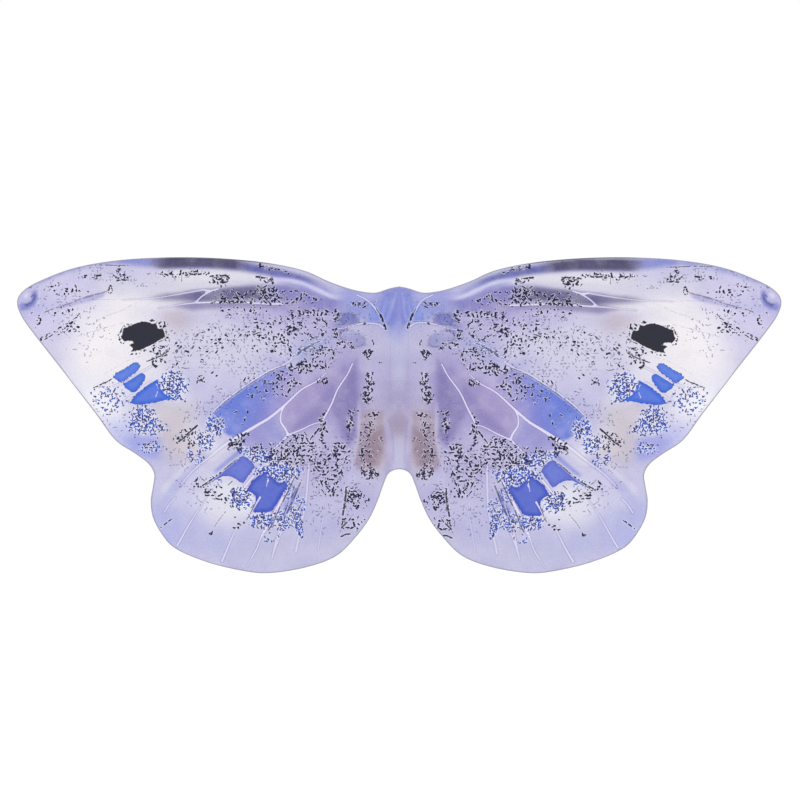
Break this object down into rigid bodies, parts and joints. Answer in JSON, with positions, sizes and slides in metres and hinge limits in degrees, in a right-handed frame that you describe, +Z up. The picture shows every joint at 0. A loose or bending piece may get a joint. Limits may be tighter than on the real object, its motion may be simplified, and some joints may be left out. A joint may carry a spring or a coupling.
{
  "type": "fairy wings",
  "caption": "Printed cloth butterfly wings worn on the back, with a rolled hem all round, elastic shoulder straps on a centre back tape and an elastic finger loop behind each wing tip.",
  "frame": {"origin": "centre of the back tape's outer face, which rests between the wearer's shoulder blades", "axes": "+Z up, +X along the wingspan towards the right wing, +Y out of the tape's face towards the wearer; the printed face looks along -Y"},
  "size_m": [1.182, 0.0865, 0.4891],
  "materials": {
    "printed_cloth": "matt printed woven polyester, lilac ground with blue and near-black butterfly markings",
    "hem_thread": "narrow overlocked rolled edge, grey-violet thread",
    "tape_cloth": "plain woven pale lilac tape",
    "strap_elastic": "ribbed white knitted elastic",
    "loop_elastic": "narrow ribbed white elastic"
  },
  "bodies": {
    "back": {"body_panel": "printed_cloth", "neck_hem": "hem_thread", "tail_hem": "hem_thread", "back_tape": "tape_cloth", "left_strap_top_tail": "strap_elastic", "left_strap_bottom_tail": "strap_elastic", "right_strap_top_tail": "strap_elastic", "right_strap_bottom_tail": "strap_elastic"},
    "left_wing": {"left_wing_panel": "printed_cloth", "left_wing_hem": "hem_thread", "left_tip_patch": "tape_cloth", "left_loop_tail": "loop_elastic"},
    "left_shoulder_strap": {"left_strap": "strap_elastic"},
    "left_loop": {"left_finger_loop": "loop_elastic"},
    "right_wing": {"right_wing_panel": "printed_cloth", "right_wing_hem": "hem_thread", "right_tip_patch": "tape_cloth", "right_loop_tail": "loop_elastic"},
    "right_shoulder_strap": {"right_strap": "strap_elastic"},
    "right_loop": {"right_finger_loop": "loop_elastic"}
  },
  "joints": [
    {"name": "left_wing_fold", "type": "hinge", "parent": "back", "child": "left_wing", "pos_m": [-0.0175, -0.00295, 0], "axis": [0, 0, -1], "range_deg": [-88, 40]},
    {"name": "left_strap_swing", "type": "hinge", "parent": "back", "child": "left_shoulder_strap", "pos_m": [-0.0085, 0.005, 0], "axis": [0, 0, 1], "range_deg": [-20, 20]},
    {"name": "left_loop_lift", "type": "hinge", "parent": "left_wing", "child": "left_loop", "pos_m": [-0.5635, 0.0002, 0.0903], "axis": [1, 0, 0], "range_deg": [0, 125]},
    {"name": "right_wing_fold", "type": "hinge", "parent": "back", "child": "right_wing", "pos_m": [0.0175, -0.00295, 0], "axis": [0, 0, 1], "range_deg": [-88, 40]},
    {"name": "right_strap_swing", "type": "hinge", "parent": "back", "child": "right_shoulder_strap", "pos_m": [0.0085, 0.005, 0], "axis": [0, 0, -1], "range_deg": [-20, 20]},
    {"name": "right_loop_lift", "type": "hinge", "parent": "right_wing", "child": "right_loop", "pos_m": [0.5635, 0.0002, 0.0903], "axis": [1, 0, 0], "range_deg": [0, 125]}
  ]
}
